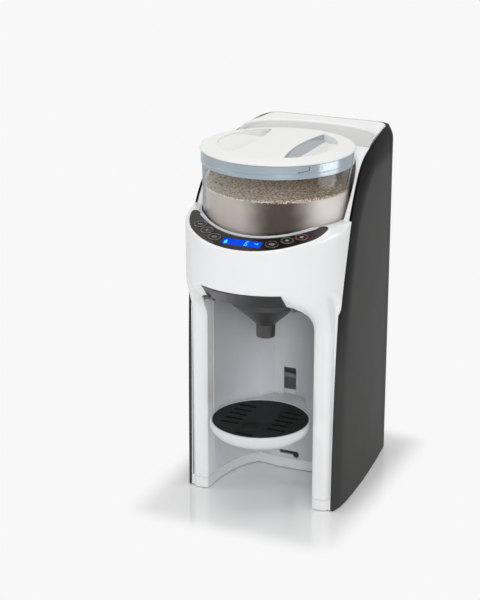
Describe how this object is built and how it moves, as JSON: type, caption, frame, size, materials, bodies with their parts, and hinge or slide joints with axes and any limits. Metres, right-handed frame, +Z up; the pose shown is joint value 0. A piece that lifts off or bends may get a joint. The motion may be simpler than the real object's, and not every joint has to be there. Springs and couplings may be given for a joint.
{
  "type": "baby formula maker",
  "caption": "Countertop machine that doses powder and warm water through a funnel into a bottle on a drip tray.",
  "frame": {"origin": "centre of the footprint box on the surface that the feet stand on", "axes": "+Z up, -Y towards the user at the front, +X to the right seen from the front"},
  "size_m": [0.172, 0.2536, 0.3733],
  "materials": {
    "white_shell": "glossy white moulded plastic",
    "white_inner": "satin white moulded plastic",
    "charcoal_shell": "satin charcoal moulded plastic",
    "rubber_feet": "matt black rubber",
    "steel_screw": "zinc plated steel",
    "smoke_clear": "smoky translucent plastic",
    "clear_plastic": "clear moulded plastic",
    "panel_black": "glossy black control panel",
    "display_blue": "backlit blue display",
    "button_dark": "dark plastic with a silver ring",
    "silver_band": "silver-blue translucent plastic",
    "natural_plastic": "uncoloured moulded plastic",
    "red_plastic": "red moulded plastic",
    "milk_powder": "granular brown and cream powder",
    "lid_white": "satin warm white moulded plastic",
    "seal_grey": "soft grey seal",
    "gear_plastic": "ivory gear plastic",
    "steel_part": "brushed steel",
    "bronze_bush": "sintered bronze",
    "grate_black": "matt black moulded plastic",
    "circuit_board": "green circuit board",
    "pump_dark": "dark moulded plastic",
    "hose_clear": "translucent silicone hose",
    "grey_plastic": "grey moulded plastic"
  },
  "bodies": {
    "housing": {"front_shell": "white_shell", "bay_liner": "white_inner", "base_tray": "white_shell", "foot_front_left": "rubber_feet", "foot_front_right": "rubber_feet", "foot_rear_left": "rubber_feet", "foot_rear_right": "rubber_feet", "base_screw_1": "steel_screw", "base_screw_2": "steel_screw", "base_screw_3": "steel_screw", "base_screw_4": "steel_screw", "side_panel_left": "charcoal_shell", "side_panel_right": "charcoal_shell", "rear_shell": "charcoal_shell", "power_inlet": "pump_dark", "chassis": "grey_plastic", "control_panel": "panel_black", "display_window": "display_blue", "switch_board": "circuit_board", "container_seat": "white_inner", "shaft_bearing": "bronze_bush", "gear_motor": "steel_part", "gear_bracket": "steel_part", "funnel_housing": "white_inner", "main_board": "circuit_board", "power_board": "circuit_board", "water_pump": "pump_dark", "water_heater": "steel_part", "supply_hose": "hose_clear", "pressure_hose": "hose_clear", "hot_water_hose": "hose_clear", "water_nozzle": "grey_plastic"},
    "container": {"powder_container": "clear_plastic", "container_band": "silver_band", "container_base": "natural_plastic", "powder_fill": "milk_powder"},
    "lid_ring": {"lid_seal": "seal_grey"},
    "twist_lid": {"lid": "lid_white"},
    "pinion": {"motor_pinion": "gear_plastic"},
    "drive": {"drive_gear": "gear_plastic", "drive_shaft": "steel_part"},
    "dosing": {"dosing_wheel": "red_plastic", "stirrer": "natural_plastic"},
    "tank": {"water_tank": "smoke_clear", "tank_valve": "grey_plastic"},
    "deck_lid": {"tank_lid": "white_shell"},
    "funnel_drawer": {"funnel": "smoke_clear", "funnel_cover": "smoke_clear"},
    "tray": {"tray_dish": "white_shell", "tray_bracket": "white_inner"},
    "grate": {"drip_grate": "grate_black"},
    "button_left_1_key": {"button_left_1": "button_dark"},
    "button_left_2_key": {"button_left_2": "button_dark"},
    "button_left_3_key": {"button_left_3": "button_dark"},
    "button_right_1_key": {"button_right_1": "button_dark"},
    "button_right_2_key": {"button_right_2": "button_dark"},
    "button_right_3_key": {"button_right_3": "button_dark"}
  },
  "joints": [
    {"name": "container_lift", "type": "slide", "parent": "housing", "child": "container", "axis": [0, 0, 1], "range_m": [0, 0.09]},
    {"name": "seal_lift", "type": "slide", "parent": "container", "child": "lid_ring", "axis": [0, 0, 1], "range_m": [0, 0.06]},
    {"name": "lid_twist", "type": "hinge", "parent": "lid_ring", "child": "twist_lid", "pos_m": [0, -0.02425, 0.37], "axis": [0, 0, 1], "range_deg": [-25, 0]},
    {"name": "pinion_spin", "type": "hinge", "parent": "housing", "child": "pinion", "pos_m": [0, 0.01825, 0.27], "axis": [0, 0, 1], "continuous": true},
    {"name": "drive_spin", "type": "hinge", "parent": "housing", "child": "drive", "pos_m": [0, -0.02425, 0.27], "axis": [0, 0, 1], "continuous": true},
    {"name": "dosing_spin", "type": "hinge", "parent": "container", "child": "dosing", "pos_m": [0, -0.02425, 0.287], "axis": [0, 0, 1], "continuous": true},
    {"name": "tank_lift", "type": "slide", "parent": "housing", "child": "tank", "axis": [0, 0, 1], "range_m": [0, 0.3]},
    {"name": "deck_lid_lift", "type": "slide", "parent": "tank", "child": "deck_lid", "axis": [0, 0, 1], "range_m": [0, 0.06]},
    {"name": "funnel_slide", "type": "slide", "parent": "housing", "child": "funnel_drawer", "axis": [0, -1, 0], "range_m": [0, 0.11]},
    {"name": "tray_height", "type": "slide", "parent": "housing", "child": "tray", "axis": [0, 0, 1], "range_m": [-0.045, 0.025]},
    {"name": "grate_lift", "type": "slide", "parent": "tray", "child": "grate", "axis": [0, 0, 1], "range_m": [0, 0.04]},
    {"name": "button_left_1_press", "type": "slide", "parent": "housing", "child": "button_left_1_key", "axis": [0, 0.2785, -0.9604], "range_m": [0, 0.0008], "stiffness_N_per_m": 1500},
    {"name": "button_left_2_press", "type": "slide", "parent": "housing", "child": "button_left_2_key", "axis": [0, 0.2785, -0.9604], "range_m": [0, 0.0008], "stiffness_N_per_m": 1500},
    {"name": "button_left_3_press", "type": "slide", "parent": "housing", "child": "button_left_3_key", "axis": [0, 0.2785, -0.9604], "range_m": [0, 0.0008], "stiffness_N_per_m": 1500},
    {"name": "button_right_1_press", "type": "slide", "parent": "housing", "child": "button_right_1_key", "axis": [0, 0.2785, -0.9604], "range_m": [0, 0.0008], "stiffness_N_per_m": 1500},
    {"name": "button_right_2_press", "type": "slide", "parent": "housing", "child": "button_right_2_key", "axis": [0, 0.2785, -0.9604], "range_m": [0, 0.0008], "stiffness_N_per_m": 1500},
    {"name": "button_right_3_press", "type": "slide", "parent": "housing", "child": "button_right_3_key", "axis": [0, 0.2785, -0.9604], "range_m": [0, 0.0008], "stiffness_N_per_m": 1500}
  ],
  "couplings": [
    {"joint": "drive_spin", "follows": "pinion_spin", "ratio": -0.61538},
    {"joint": "dosing_spin", "follows": "pinion_spin", "ratio": -0.61538}
  ]
}
